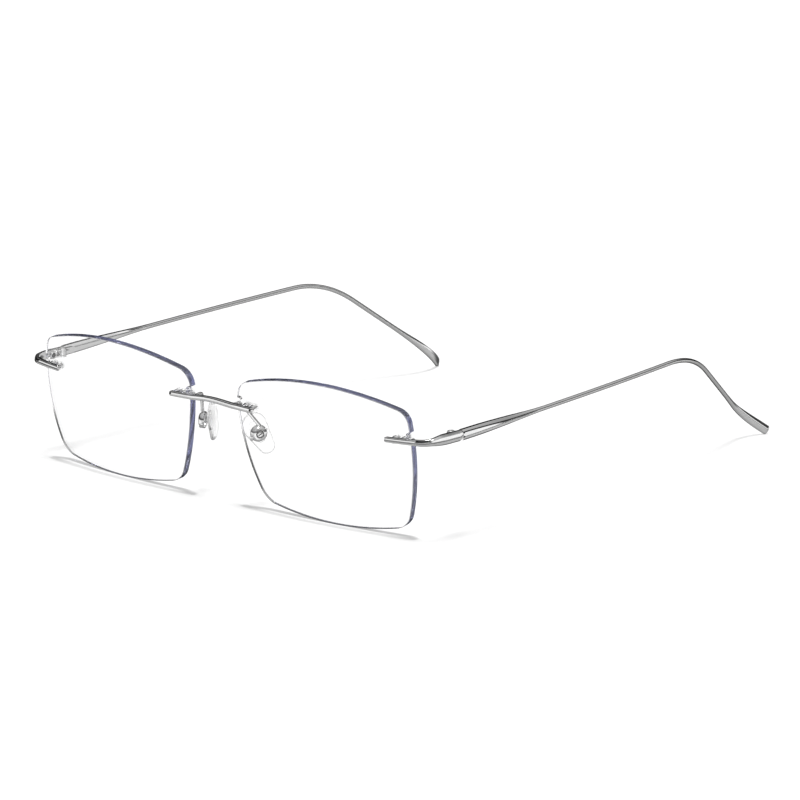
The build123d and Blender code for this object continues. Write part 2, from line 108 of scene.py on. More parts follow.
def make_floor():
    """A plain pale floor, which mirror reflections don't see."""
    mesh = bpy.data.meshes.new("floor")
    corners = [(FLOOR_REACH * x, FLOOR_REACH * y, 0) for x, y in ((-1, -1), (1, -1), (1, 1), (-1, 1))]
    mesh.from_pydata(corners, [], [(0, 1, 2, 3)])
    floor = new_object("floor", mesh)
    material, *_, shader = new_material("floor_white")
    shader.inputs["Base Color"].default_value = grey(FLOOR_SHADE)
    shader.inputs["Roughness"].default_value = FLOOR_ROUGHNESS
    shader.inputs["Specular IOR Level"].default_value = FLOOR_SHINE
    mesh.materials.append(material)
    floor.visible_glossy = False


# What mirror reflections see, by the height of their direction: -1 is straight down, 1 straight up.
MIRROR_HEIGHTS = [(-1.0, 0.36), (-0.62, 0.44), (-0.44, 0.50), (-0.26, 0.58), (-0.18, 0.68), (-0.12, 1.1),
                  (-0.02, 1.1), (0.05, 0.14), (0.09, 0.03), (0.28, 0.05), (0.40, 0.34), (0.56, 0.46),
                  (0.80, 0.58), (1.0, 0.70)]
# They also see a dark wall straight ahead of the camera. They start to darken at the first nearness to
# its direction, where 1 is dead ahead, and are down to the wall's own share of the light at the second.
WALL_DIRECTION = (-math.sin(CAMERA_AZIMUTH), math.cos(CAMERA_AZIMUTH), -0.12)
WALL_NEARNESS = (0.48, 0.76)
WALL_SHARE = 0.15
# Everything else sees even white light, which is stronger where clear plastic looks past the floor.
SOFT_LIGHT = 0.4
LIGHT_PAST_PLASTIC = 0.72

# The two lights overhead, as their strength and the width of the source in degrees.
SOFTBOX = (1.3, 14)
RIM_LIGHT = (1.4, 1.2)
# How far both are turned from straight overhead, in degrees.
LIGHT_LEAN = (4, 2, 0)


def make_world():
    """Even white light, in which only mirror reflections see a studio with a dark wall behind."""
    world = bpy.data.worlds.new("studio")
    bpy.context.scene.world = world
    world.use_nodes = True
    nodes = world.node_tree.nodes
    links = world.node_tree.links
    nodes.clear()
    place = add_node(nodes, "TexCoord")
    split = add_node(nodes, "SeparateXYZ")
    links.new(place.outputs["Generated"], split.inputs[0])
    height = add_range(nodes, (-1, 1), (0, 1))
    links.new(split.outputs["Z"], height.inputs["Value"])
    bands = add_node(nodes, "ValToRGB")
    elements = bands.color_ramp.elements
    while len(elements) < len(MIRROR_HEIGHTS):
        elements.new(0.5)
    for element, (place_up, shade) in zip(elements, MIRROR_HEIGHTS):
        element.position = (place_up + 1) / 2
        element.color = grey(shade)
    links.new(height.outputs[0], bands.inputs[0])

    toward_wall = add_node(nodes, "VectorMath", "DOT_PRODUCT")
    toward_wall.inputs[1].default_value = WALL_DIRECTION
    links.new(place.outputs["Generated"], toward_wall.inputs[0])
    wall = add_range(nodes, WALL_NEARNESS, (1, WALL_SHARE))
    wall.interpolation_type = "SMOOTHSTEP"
    links.new(toward_wall.outputs["Value"], wall.inputs["Value"])
    darken = add_node(nodes, "VectorMath", "SCALE")
    links.new(bands.outputs[0], darken.inputs[0])
    links.new(wall.outputs[0], darken.inputs["Scale"])

    path = add_node(nodes, "LightPath")
    soft = add_node(nodes, "Mix")
    soft.data_type = "RGBA"
    soft.inputs["A"].default_value = grey(SOFT_LIGHT)
    soft.inputs["B"].default_value = grey(LIGHT_PAST_PLASTIC)
    links.new(path.outputs["Is Transmission Ray"], soft.inputs["Factor"])
    choose = add_node(nodes, "Mix")
    choose.data_type = "RGBA"
    links.new(soft.outputs["Result"], choose.inputs["A"])
    links.new(darken.outputs[0], choose.inputs["B"])
    links.new(path.outputs["Is Glossy Ray"], choose.inputs["Factor"])
    background = add_node(nodes, "Background")
    links.new(choose.outputs["Result"], background.inputs["Color"])
    output = add_node(nodes, "OutputWorld")
    links.new(background.outputs[0], output.inputs[0])


def make_overhead_light(name, strength, width):
    """Light from above the front, from a round source this many degrees wide."""
    data = bpy.data.lights.new(name, "SUN")
    data.energy = strength
    data.angle = math.radians(width)
    light = new_object(name, data)
    light.rotation_euler = [math.radians(lean) for lean in LIGHT_LEAN]
    return light


# ---------------------------------------------------------------- materials

# The drawn grain of metal. It is stretched from front to back, its shades come from the middle of the
# noise, and it moves the roughness between these two shares of it.
GRAIN_FINENESS = 2600
GRAIN_STRETCH = (1, 0.12, 1)
GRAIN_DETAIL = 5
GRAIN_BAND = (0.35, 0.65)
GRAIN_ROUGHNESS = (0.8, 1.25)
GRAIN_STRENGTH = 0.05
GRAIN_RELIEF = 0.00002
CLOUD_FINENESS = 900
# A painted dark spot of shade fades out between these two shares of its radius.
SPOT_RIM = (0.9, 1.1)


def grey(shade):
    return (shade, shade, shade, 1)


def add_node(nodes, kind, operation=None):
    node = nodes.new(f"ShaderNode{kind}")
    if operation:
        node.operation = operation
    return node


def add_range(nodes, before, after):
    """A node that turns one range of values into another and stops at its ends."""
    node = add_node(nodes, "MapRange")
    node.inputs["From Min"].default_value, node.inputs["From Max"].default_value = before
    node.inputs["To Min"].default_value, node.inputs["To Max"].default_value = after
    return node


def new_material(name):
    material = bpy.data.materials.new(name)
    material.use_nodes = True
    nodes = material.node_tree.nodes
    return material, nodes, material.node_tree.links, nodes["Principled BSDF"]


def metal(name, shade, roughness, streak):
    """A metal whose fine drawn grain moves its shade and roughness a little."""
    material, nodes, links, shader = new_material(name)
    shader.inputs["Metallic"].default_value = 1
    place = add_node(nodes, "TexCoord")
    stretch = add_node(nodes, "Mapping")
    stretch.inputs["Scale"].default_value = GRAIN_STRETCH
    links.new(place.outputs["Object"], stretch.inputs["Vector"])
    grain = add_node(nodes, "TexNoise")
    grain.inputs["Scale"].default_value = GRAIN_FINENESS
    grain.inputs["Detail"].default_value = GRAIN_DETAIL
    links.new(stretch.outputs[0], grain.inputs["Vector"])
    colour = add_node(nodes, "ValToRGB")
    low, high = colour.color_ramp.elements
    low.position, high.position = GRAIN_BAND
    low.color = grey(shade - streak)
    high.color = grey(shade + streak)
    links.new(grain.outputs["Fac"], colour.inputs[0])
    links.new(colour.outputs[0], shader.inputs["Base Color"])
    rough = add_range(nodes, (0, 1), [roughness * share for share in GRAIN_ROUGHNESS])
    links.new(grain.outputs["Fac"], rough.inputs["Value"])
    links.new(rough.outputs[0], shader.inputs["Roughness"])
    bump = add_node(nodes, "Bump")
    bump.inputs["Strength"].default_value = GRAIN_STRENGTH
    bump.inputs["Distance"].default_value = GRAIN_RELIEF
    links.new(grain.outputs["Fac"], bump.inputs["Height"])
    links.new(bump.outputs[0], shader.inputs["Normal"])
    return material


def darken_near(material, centre, radius):
    """Make a metal black within a radius of a line that runs across, through a point of the drawing, as
    painted shade.
    """
    nodes, links = material.node_tree.nodes, material.node_tree.links
    shader = nodes["Principled BSDF"]
    place = add_node(nodes, "TexCoord")
    offset = add_node(nodes, "VectorMath", "SUBTRACT")
    offset.inputs[1].default_value = mm(*centre)
    links.new(place.outputs["Object"], offset.inputs[0])
    flat = add_node(nodes, "VectorMath", "MULTIPLY")
    flat.inputs[1].default_value = (0, 1, 1)
    links.new(offset.outputs[0], flat.inputs[0])
    length = add_node(nodes, "VectorMath", "LENGTH")
    links.new(flat.outputs[0], length.inputs[0])
    outside = add_range(nodes, [radius * share / 1000 for share in SPOT_RIM], (0, 1))
    links.new(length.outputs["Value"], outside.inputs["Value"])
    colour = shader.inputs["Base Color"].links[0].from_socket
    shade = add_node(nodes, "VectorMath", "SCALE")
    links.new(colour, shade.inputs[0])
    links.new(outside.outputs[0], shade.inputs["Scale"])
    links.new(shade.outputs[0], shader.inputs["Base Color"])


def clear(name, tint, roughness=0.0, ior=1.5, lamp_share=1.0, cloud=0.0, unbent=0.0):
    """See-through plastic. Lamps and soft light pass it unbent, with lamp_share of their strength.

    A share of the view, unbent, is seen straight through it.
    """
    material, nodes, links, shader = new_material(name)
    shader.inputs["Base Color"].default_value = (*tint, 1)
    shader.inputs["Transmission Weight"].default_value = 1
    shader.inputs["Roughness"].default_value = roughness
    shader.inputs["IOR"].default_value = ior
    if cloud:
        place = add_node(nodes, "TexCoord")
        noise = add_node(nodes, "TexNoise")
        noise.inputs["Scale"].default_value = CLOUD_FINENESS
        links.new(place.outputs["Object"], noise.inputs["Vector"])
        rough = add_range(nodes, (0, 1), (roughness, roughness + cloud))
        links.new(noise.outputs["Fac"], rough.inputs["Value"])
        links.new(rough.outputs[0], shader.inputs["Roughness"])
    path = add_node(nodes, "LightPath")
    soft = add_node(nodes, "Math", "MAXIMUM")
    links.new(path.outputs["Is Shadow Ray"], soft.inputs[0])
    links.new(path.outputs["Is Diffuse Ray"], soft.inputs[1])
    share = add_node(nodes, "Math", "MAXIMUM")
    share.inputs[1].default_value = unbent
    links.new(soft.outputs[0], share.inputs[0])
    pass_through = add_node(nodes, "BsdfTransparent")
    pass_through.inputs["Color"].default_value = grey(lamp_share)
    choose = add_node(nodes, "MixShader")
    links.new(share.outputs[0], choose.inputs[0])
    links.new(shader.outputs[0], choose.inputs[1])
    links.new(pass_through.outputs[0], choose.inputs[2])
    links.new(choose.outputs[0], nodes["Material Output"].inputs["Surface"])
    return material


# ---------------------------------------------------------------- meshes

# Edges between faces that meet at more than this many degrees stay sharp.
SHARP_ANGLE = 35


def add_piece(name, mesh, materials, body, replaces):
    """A visible piece that rides on a body and stands for a CAD node."""
    piece = new_object(name, mesh)
    for material in materials:
        mesh.materials.append(material)
    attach(piece, body)
    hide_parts(*replaces)
    return piece


def loft_mesh(name, rings, centres=(None, None), shaded_sides=()):
    """A skin over closed rings with equally many points, closed at both ends round a centre point.

    The faces in the named columns take the second material, a near-black metal that paints shade.
    """
    points = [point for ring in rings for point in ring]
    count = len(rings[0])
    faces = []
    for row in range(len(rings) - 1):
        for k in range(count):
            a = row * count + k
            b = row * count + (k + 1) % count
            faces.append((a, b, b + count, a + count))
    for first, turn, centre in ((0, -1, centres[0]), (len(points) - count, 1, centres[1])):
        points.append(centre or sum(points[first:first + count], Vector()) / count)
        for k in range(count):
            pair = (first + k, first + (k + 1) % count)
            faces.append((*pair[::turn], len(points) - 1))
    mesh = bpy.data.meshes.new(name)
    mesh.from_pydata([tuple(point) for point in points], [], faces)
    mesh.update()
    for face in mesh.polygons[:(len(rings) - 1) * count]:
        face.material_index = int(face.index % count in shaded_sides)
    set_smooth(mesh)
    return mesh


def set_smooth(mesh):
    """Smooth shading, but sharp where two faces meet at a clear angle."""
    shaped = bmesh.new()
    shaped.from_mesh(mesh)
    bmesh.ops.recalc_face_normals(shaped, faces=shaped.faces)
    limit = math.radians(SHARP_ANGLE)
    for face in shaped.faces:
        face.smooth = True
    for edge in shaped.edges:
        edge.smooth = len(edge.link_faces) == 2 and edge.calc_face_angle(0) < limit
    shaped.to_mesh(mesh)
    shaped.free()


def darken_faces(mesh, chosen):
    """Give the second material, the near-black painted shade, to the faces whose numbers pass a test."""
    for face in mesh.polygons:
        if chosen(face.index):
            face.material_index = 1


# ---------------------------------------------------------------- lenses

LENS_MIDDLE = (36.4, 0.0, 18.22)
LENS_WRAP = math.radians(4.1)
LENS_LEAN = math.radians(8.5)
LENS_RADIUS = 163.0
LENS_THICKNESS = 1.9
LENS_CORNERS = [(-28.35, 13.95), (26.05, 14.35), (23.45, -16.4), (-21.3, -16.1)]
LENS_BULGES = [4.45, 2.2, 2.35, 1.95]
LENS_CORNER_RADII = [5.0, 4.4, 5.8, 6.3]
# Each fitting's place on the lens edge, across and up, and both with the way inwards from there.
OUTER_FITTING = (27.0, 7.2)
INNER_FITTING = (-28.2, 8.15)
FITTINGS = ((OUTER_FITTING, -1), (INNER_FITTING, 1))
HOLE_INSETS = (2.5, 5.0)
HOLE_RADIUS = 0.9
NOTCH_DEPTH = 1.3
NOTCH_BELOW = 0.9
NOTCH_ABOVE = 2.3
NOTCH_CORNER = 0.6
NOTCH_OVERSHOOT = 3
CUT_HEIGHTS = (2.0, -5.0)
EDGE_BREAK = 0.17
EDGE_BREAK_ANGLES = (0, 25, 50, 70, 90)
FACE_SHARES = (0.06, 0.2, 0.35, 0.5, 0.65, 0.8, 0.92)
# The cosine between a face's direction and the way out from the middle of the lens's curve: more than the
# first on the two surfaces, less than the second on the outer edge, and in between on a broken corner.
SURFACE_FACING = 0.997
EDGE_FACING = 0.25
# How far beyond its drawn shape a wall still counts as part of a notch or a hole, and how far the lens
# edge may lie outside a fitting's place.
NOTCH_SLACK = 0.01
HOLE_SLACK = 0.05
EDGE_SLACK = 1
# The steps round each corner and along each side of the outline, and round the small shapes.
CORNER_STEPS = 22
SIDE_STEPS = 56
NOTCH_STEPS = 8
HOLE_STEPS = 40
POST_STEPS = 20
DOT_STEPS = 12

U_AXIS = Vector((math.cos(LENS_WRAP), math.sin(LENS_WRAP), 0))
LEVEL_BACK = Vector((-math.sin(LENS_WRAP), math.cos(LENS_WRAP), 0))
V_AXIS = Vector((0, 0, 1)) * math.cos(LENS_LEAN) - LEVEL_BACK * math.sin(LENS_LEAN)
OUT_AXIS = U_AXIS.cross(V_AXIS)


def lens_drawing(u, v, out):
    """A point given across, up and out from the lens plane, as drawing millimetres."""
    return Vector(LENS_MIDDLE) + U_AXIS * u + V_AXIS * v + OUT_AXIS * out


def lens_point(u, v, out, side):
    point = lens_drawing(u, v, out)
    return mm(point.x, point.y, point.z, side)


def front_sag(u, v):
    return math.sqrt(LENS_RADIUS ** 2 - u * u - v * v) - LENS_RADIUS


def back_sag(u, v):
    return math.sqrt((LENS_RADIUS - LENS_THICKNESS) ** 2 - u * u - v * v) - LENS_RADIUS


def lens_face_y(x, z):
    """Y of the lens's front surface at a place in the front view, in drawing millimetres."""
    ball = Vector(LENS_MIDDLE) - OUT_AXIS * LENS_RADIUS
    return ball.y - math.sqrt(LENS_RADIUS ** 2 - (x - ball.x) ** 2 - (z - ball.z) ** 2)


def side_circle(a, b, bulge):
    """The circle of a side that bulges outwards, to the left of the way from a to b."""
    a, b = Vector(a), Vector(b)
    chord = b - a
    radius = (chord.length ** 2 / 4 + bulge ** 2) / (2 * bulge)
    left = Vector((-chord.y, chord.x)).normalized()
    return (a + b) / 2 - left * (radius - bulge), radius


def circle_meeting(c1, r1, c2, r2, near):
    """Where two circles meet, nearest to a point."""
    apart = c2 - c1
    along = (apart.length ** 2 + r1 ** 2 - r2 ** 2) / (2 * apart.length)
    across = math.sqrt(r1 ** 2 - along ** 2)
    one = apart.normalized()
    normal = Vector((-one.y, one.x))
    options = [c1 + one * along + normal * across * s for s in (1, -1)]
    return min(options, key=lambda point: (point - near).length)


def arc_points(middle, radius, start, end, count):
    """Points from start towards end round a circle, the end left out, going clockwise."""
    first = math.atan2(start.y - middle.y, start.x - middle.x)
    last = math.atan2(end.y - middle.y, end.x - middle.x)
    while last > first:
        last -= 2 * math.pi
    return [middle + Vector((math.cos(a), math.sin(a))) * radius
            for a in (mix(first, last, k / count) for k in range(count))]


def lens_outline():
    """The outline, clockwise from the front, as pairs of a point and its outward direction."""
    corners = [Vector(corner) for corner in LENS_CORNERS]
    circles = [side_circle(corners[k], corners[(k + 1) % 4], LENS_BULGES[k]) for k in range(4)]
    rounds = []
    for k in range(4):
        (c1, r1), (c2, r2) = circles[k - 1], circles[k]
        radius = LENS_CORNER_RADII[k]
        middle = circle_meeting(c1, r1 - radius, c2, r2 - radius, corners[k])
        enter = c1 + (middle - c1).normalized() * r1
        leave = c2 + (middle - c2).normalized() * r2
        rounds.append((middle, radius, enter, leave))
    outline = []
    for k in range(4):
        middle, radius, enter, leave = rounds[k]
        turn = arc_points(middle, radius, enter, leave, CORNER_STEPS)
        outline += [(point, (point - middle).normalized()) for point in turn]
        c2, r2 = circles[k]
        run = arc_points(c2, r2, leave, rounds[(k + 1) % 4][2], SIDE_STEPS)
        outline += [(point, (point - c2).normalized()) for point in run]
    return outline


def lens_ring(outline, inset, share, sag, lift, side):
    """A ring this far inside the outline, shrunk to a share of its size, over one surface of the lens."""
    ring = []
    for point, outward in outline:
        u, v = (point - outward * inset) * share
        ring.append(lens_point(u, v, sag(u, v) + lift, side))
    return ring


def lens_rings(side):
    """Rings of points from the middle of the front, over the edge, to the middle of the back."""
    outline = lens_outline()
    halves = []
    for sag, inwards in ((front_sag, -1), (back_sag, 1)):
        rings = [lens_ring(outline, EDGE_BREAK, share, sag, 0, side) for share in FACE_SHARES]
        for angle in EDGE_BREAK_ANGLES:
            inset = EDGE_BREAK * (1 - math.sin(math.radians(angle)))
            drop = EDGE_BREAK * (1 - math.cos(math.radians(angle)))
            rings.append(lens_ring(outline, inset, 1, sag, inwards * drop, side))
        halves.append(rings)
    return halves[0] + halves[1][::-1]


def cutter(name, rings):
    return new_object(name, loft_mesh(name, rings))


def hole_cutter(name, u, v, side):
    rings = []
    for out in CUT_HEIGHTS:
        rings.append([lens_point(u + HOLE_RADIUS * math.cos(a), v + HOLE_RADIUS * math.sin(a), out, side)
                      for a in turns(HOLE_STEPS)])
    return cutter(name, rings)


def notch_cutter(name, edge_u, v, inward, side):
    """A slot open at the lens edge, with two round inner corners."""
    depth_u = edge_u + inward * (NOTCH_DEPTH - NOTCH_CORNER)
    far_u = edge_u - inward * NOTCH_OVERSHOOT
    low, high = v - NOTCH_BELOW, v + NOTCH_ABOVE
    shape = [(far_u, low)]
    for middle_v, start in ((low + NOTCH_CORNER, -90), (high - NOTCH_CORNER, 0)):
        for k in range(NOTCH_STEPS + 1):
            angle = math.radians(start + 90 * k / NOTCH_STEPS)
            shape.append((depth_u + inward * NOTCH_CORNER * math.cos(angle),
                          middle_v + NOTCH_CORNER * math.sin(angle)))
    shape.append((far_u, high))
    rings = [[lens_point(u, w, out, side) for u, w in shape] for out in CUT_HEIGHTS]
    return cutter(name, rings)


def make_lens(name, side, materials):
    """A curved clear lens, with two holes and a notch cut at each fitting."""
    centres = (lens_point(0, 0, 0, side), lens_point(0, 0, -LENS_THICKNESS, side))
    blank = new_object(name, loft_mesh(name, lens_rings(side), centres))
    cutters = []
    for (edge_u, v), inward in FITTINGS:
        for inset in HOLE_INSETS:
            cutters.append(hole_cutter(f"{name}_cut{len(cutters)}", edge_u + inward * inset, v, side))
        cutters.append(notch_cutter(f"{name}_cut{len(cutters)}", edge_u, v, inward, side))
    for tool in cutters:
        cut = blank.modifiers.new("cut", "BOOLEAN")
        cut.operation = "DIFFERENCE"
        cut.solver = "EXACT"
        cut.object = tool
    bpy.context.view_layer.update()
    graph = bpy.context.evaluated_depsgraph_get()
    shaped = bpy.data.meshes.new_from_object(blank.evaluated_get(graph))
    for thing in (blank, *cutters):
        bpy.data.objects.remove(thing)
    set_smooth(shaped)
    mark_lens_faces(shaped, side)
    return add_piece(f"{name}_clear", shaped, materials, "front", [name])


def mark_lens_faces(mesh, side):
    """Slot 0 on the two surfaces and the walls of holes, 1 on the outer edge, 2 on its broken corners."""
    middle = lens_point(0, 0, -LENS_RADIUS, side)
    normals = [Vector()] * len(mesh.loops)
    for face in mesh.polygons:
        away = (face.center - middle).normalized()
        facing = face.normal.dot(away)
        if abs(facing) > SURFACE_FACING:
            for loop, v in zip(face.loop_indices, face.vertices):
                normals[loop] = (mesh.vertices[v].co - middle).normalized() * math.copysign(1, facing)
            face.material_index = 0
        elif in_fitting(face.center, side):
            face.material_index = 0
        else:
            face.material_index = 1 if abs(facing) < EDGE_FACING else 2
    mesh.normals_split_custom_set(normals)


def in_fitting(point, side):
    """True on the wall of a hole or of a notch."""
    drawn = Vector((point.x * 1000 * side, point.y * 1000 - LENS_MIDDLE_Y, point.z * 1000))
    offset = drawn - Vector(LENS_MIDDLE)
    u, v = offset.dot(U_AXIS), offset.dot(V_AXIS)
    for (edge_u, fitting_v), inward in FITTINGS:
        depth = (u - edge_u) * inward
        up = v - fitting_v
        level = -NOTCH_BELOW - NOTCH_SLACK <= up <= NOTCH_ABOVE + NOTCH_SLACK
        if level and -EDGE_SLACK < depth < NOTCH_DEPTH + NOTCH_SLACK:
            return True
        for inset in HOLE_INSETS:
            if math.hypot(depth - inset, up) < HOLE_RADIUS + HOLE_SLACK:
                return True
    return False


# ---------------------------------------------------------------- sections

ROUND_STEPS = 2
POINTS_PER_CORNER = ROUND_STEPS + 3
# How far along the side the point beyond the end of an arc lies.
SUPPORT_SHARE = 0.04


def shaded_columns(*sides):
    """The face columns of the straight sides of a section made by round_section, by corner number, for
    painted shade.
    """
    return {side * POINTS_PER_CORNER + ROUND_STEPS + 1 + k for side in sides for k in range(3)}


def round_section(corners, radius):
    """A polygon of (across, up) corners, each rounded, with a point just beyond each end of the arc.

    Those points keep the sides between the corners flat under smooth shading.
    """
    ring = []
    count = len(corners)
    for k in range(count):
        here = Vector(corners[k])
        before = Vector(corners[k - 1]) - here
        after = Vector(corners[(k + 1) % count]) - here
        cut = min(radius, before.length * 0.4, after.length * 0.4)
        a = here + before.normalized() * cut
        b = here + after.normalized() * cut
        ring.append(a + before * SUPPORT_SHARE)
        for step in range(ROUND_STEPS + 1):
            t = step / ROUND_STEPS
            ring.append(a * (1 - t) ** 2 + here * 2 * t * (1 - t) + b * t * t)
        ring.append(b + after * SUPPORT_SHARE)
    return ring


# ---------------------------------------------------------------- bridge

BAR_DEPTH = 1.15
BAR_HEIGHT = 1.4
BRIDGE_HEIGHT = 26.6
BRIDGE_ARCH = 0.6
BRIDGE_BOW = 0.5
BRIDGE_FOOT_END = 13.8
# The least share of its height and depth that a bar keeps at its rounded end.
END_HEIGHT_SHARE = 0.14
END_DEPTH_SHARE = 0.3
FACE_GAP = 0.02
POST_RADIUS = 0.45
POST_LENGTH = 3.2
POST_START = 0.5
POST_CHAMFER = 0.1
POST_TIP_SHARE = 0.8
BRIDGE_ROUNDING = 0.12
BRIDGE_STEPS = 80
FOOT_SHARES = (0.3, 0.55, 0.75, 0.9, 0.97, 1.0)
# A small pit is on the front of each foot of the bridge.
FOOT_DOT_RADIUS = 0.3
FOOT_DOT_ABOVE = 0.1
# A pit's disc, as heights above the face and shares of its radius.
DOT_PROFILE = ((-0.1, 1.0), (0.02, 1.0), (0.03, 0.8))


def bar_corners(depth, half):
    """The bar's section: a face that leans back above a fine line, and one that leans in below it."""
    line = -half * 0.2
    return [(0.0, half), (0.0, -half), (-depth * 0.8, -half), (-depth * 0.97, -half * 0.75),
            (-depth, line - 0.08), (-depth + 0.1, line - 0.05), (-depth, line),
            (-depth * 0.93, half * 0.62), (-depth * 0.84, half)]


# The side of bar_corners painted dark as painted shade, by the corner it starts from: the lower wall of
# the fine line.
BAR_SHADED_SIDES = (4,)


def end_size(beyond):
    """The shares of a bar's height and depth at a distance beyond the start of its rounded end."""
    rounding = math.sqrt(max(0.0, 1 - (beyond / (BAR_HEIGHT / 2)) ** 2))
    return max(END_HEIGHT_SHARE, rounding), mix(END_DEPTH_SHARE, 1, rounding)


def bridge_station(x):
    """Back of the bar, its depth, its middle height and its half height, at a place across."""
    edge = LENS_MIDDLE[0] + INNER_FITTING[0]
    swell = max(0.0, 1 - (x / edge) ** 2) ** 2
    face = lens_face_y(max(abs(x), edge), BRIDGE_HEIGHT)
    back = face - FACE_GAP - BRIDGE_BOW * swell
    tall, deep = end_size(max(0.0, abs(x) - BRIDGE_FOOT_END))
    return back, BAR_DEPTH * deep, BRIDGE_HEIGHT + BRIDGE_ARCH * swell, BAR_HEIGHT / 2 * tall


def dot_mesh(centre, facing, radius):
    """A small pit, drawn as a disc just proud of a face and painted dark as painted shade."""
    facing = Vector(facing).normalized()
    across = facing.cross(Vector((0, 0, 1))).normalized()
    up = across.cross(facing)
    rings = []
    for height, share in DOT_PROFILE:
        ring = []
        for a in turns(DOT_STEPS):
            spoke = (across * math.cos(a) + up * math.sin(a)) * radius * share
            ring.append(centre + (facing * height + spoke) * 0.001)
        rings.append(ring)
    mesh = loft_mesh("dot", rings)
    darken_faces(mesh, lambda index: True)
    return mesh


def make_post(u, v, length, side):
    """A rod through the lens at a place on it, with a chamfered end."""
    base = front_sag(u, v)
    rings = []
    for out, share in ((POST_START, 1), (-length + POST_CHAMFER, 1), (-length, POST_TIP_SHARE)):
        radius = POST_RADIUS * share
        rings.append([lens_point(u + radius * math.cos(a), v + radius * math.sin(a), out + base, side)
                      for a in turns(POST_STEPS)])
    return loft_mesh("post", rings)


def join_meshes(name, meshes):
    """One mesh from several, with smooth shading and marked corners kept."""
    whole = bmesh.new()
    for mesh in meshes:
        whole.from_mesh(mesh)
    joined = bpy.data.meshes.new(name)
    whole.to_mesh(joined)
    whole.free()
    return joined


def fitting_posts(fitting, inward, side):
    """The two rods in the holes of a fitting, and the one in its notch."""
    edge_u, v = fitting
    places = [(inset, POST_LENGTH) for inset in HOLE_INSETS]
    places.append((NOTCH_DEPTH - HOLE_RADIUS, LENS_THICKNESS))
    return [make_post(edge_u + inward * inset, v, length, side) for inset, length in places]


def make_bridge(materials):
    foot = [BRIDGE_FOOT_END + BAR_HEIGHT / 2 * share for share in FOOT_SHARES]
    places = [BRIDGE_FOOT_END * k / BRIDGE_STEPS for k in range(-BRIDGE_STEPS, BRIDGE_STEPS + 1)]
    places = [-x for x in foot[::-1]] + places + foot
    rings = []
    for x in places:
        back, depth, height, half = bridge_station(x)
        section = round_section(bar_corners(depth, half), BRIDGE_ROUNDING)
        rings.append([mm(x, back + across, height + up) for across, up in section])
    meshes = [loft_mesh("bridge_bar", rings, shaded_sides=shaded_columns(*BAR_SHADED_SIDES))]
    for side in SIDES.values():
        meshes += fitting_posts(INNER_FITTING, 1, side)
        back, depth = bridge_station(BRIDGE_FOOT_END)[:2]
        spot = mm(BRIDGE_FOOT_END, back - depth, BRIDGE_HEIGHT + FOOT_DOT_ABOVE, side)
        meshes.append(dot_mesh(spot, (0, -1, 0), FOOT_DOT_RADIUS))
    mesh = join_meshes("bridge_polished", meshes)
    return add_piece("bridge_polished", mesh, materials, "front", ["bridge"])


# ---------------------------------------------------------------- endpieces

ENDPIECE_FOOT_END = 56.9
ENDPIECE_FOOT_Z = 25.7
ENDPIECE_OUTER_X = 69.6
ENDPIECE_THICKNESS = 1.6
ENDPIECE_BACK_Y = 15.75
SIDE_LOW_Z = 24.85
SIDE_HIGH_Z = 27.45
LEAF_SCREW_Y = 11.3
LEAF_SCREW_Z = 26.0
LEAF_SCREW_SOCKET_SHADE = 0.66
ENDPIECE_STEPS = 150
ENDPIECE_ROUNDING = 0.08
CURVE_STEPS = 24


def through(points, count):
    """Evenly spaced points on a smooth curve through some points."""
    fine = []
    last = len(points) - 1
    for k in range(last):
        p1, p2 = points[k], points[k + 1]
        p0 = points[k - 1] if k else 2 * p1 - p2
        p3 = points[k + 2] if k + 2 <= last else 2 * p2 - p1
        for step in range(CURVE_STEPS):
            s = step / CURVE_STEPS
            fine.append(0.5 * (2 * p1 + (p2 - p0) * s + (2 * p0 - 5 * p1 + 4 * p2 - p3) * s * s
                               + (3 * p1 - p0 - 3 * p2 + p3) * s ** 3))
    fine.append(points[-1])
    reach = [0.0]
    for a, b in zip(fine, fine[1:]):
        reach.append(reach[-1] + (b - a).length)
    found, k = [], 0
    for step in range(count + 1):
        wanted = reach[-1] * step / count
        while k < len(fine) - 2 and reach[k + 1] < wanted:
            k += 1
        share = (wanted - reach[k]) / (reach[k + 1] - reach[k])
        found.append(fine[k].lerp(fine[k + 1], min(1, share)))
    return found


def endpiece_edges(count):
    """Matching points on the outer and inner lines of the endpiece, seen from above."""
    xs = [ENDPIECE_FOOT_END - 0.7, 58.5, 61.0, 63.5]
    outer = [Vector((x, lens_face_y(x, ENDPIECE_FOOT_Z) - BAR_DEPTH)) for x in xs]
    inner = [Vector((x, lens_face_y(x, ENDPIECE_FOOT_Z) - FACE_GAP)) for x in xs]
    face = outer[-1].y
    outer += [Vector((67.2, face + 1.1)), Vector((69.15, 5.6)), Vector((ENDPIECE_OUTER_X, 9.5)),
              Vector((ENDPIECE_OUTER_X, 12.6)), Vector((ENDPIECE_OUTER_X, ENDPIECE_BACK_Y))]
    flat_inner = ENDPIECE_OUTER_X - ENDPIECE_THICKNESS
    inner += [Vector((66.3, face + 2.1)), Vector((67.75, 5.6)), Vector((flat_inner, 8.5)),
              Vector((flat_inner, 12.2)), Vector((flat_inner, ENDPIECE_BACK_Y))]
    return through(outer, count), through(inner, count)


def endpiece_heights(y):
    """The lower and upper line of the endpiece, seen from the side."""
    rise = smooth(y, 1.5, 11.2)
    low = mix(ENDPIECE_FOOT_Z - BAR_HEIGHT / 2, SIDE_LOW_Z, rise) + 0.22 * math.exp(-((y - 5) / 2.4) ** 2)
    high = mix(ENDPIECE_FOOT_Z + BAR_HEIGHT / 2, SIDE_HIGH_Z, smooth(y, 0.2, 8.6))
    low += 0.55 * smooth(y, ENDPIECE_BACK_Y - 0.8, ENDPIECE_BACK_Y)
    return low, high


def recess_share(place):
    """1 along the recess in the bar's upper edge, between the lens and the corner, whose slope takes
    painted shade.
    """
    return smooth(place.x, 64.9, 65.5) * (1 - smooth(place.y, 4.0, 5.4))


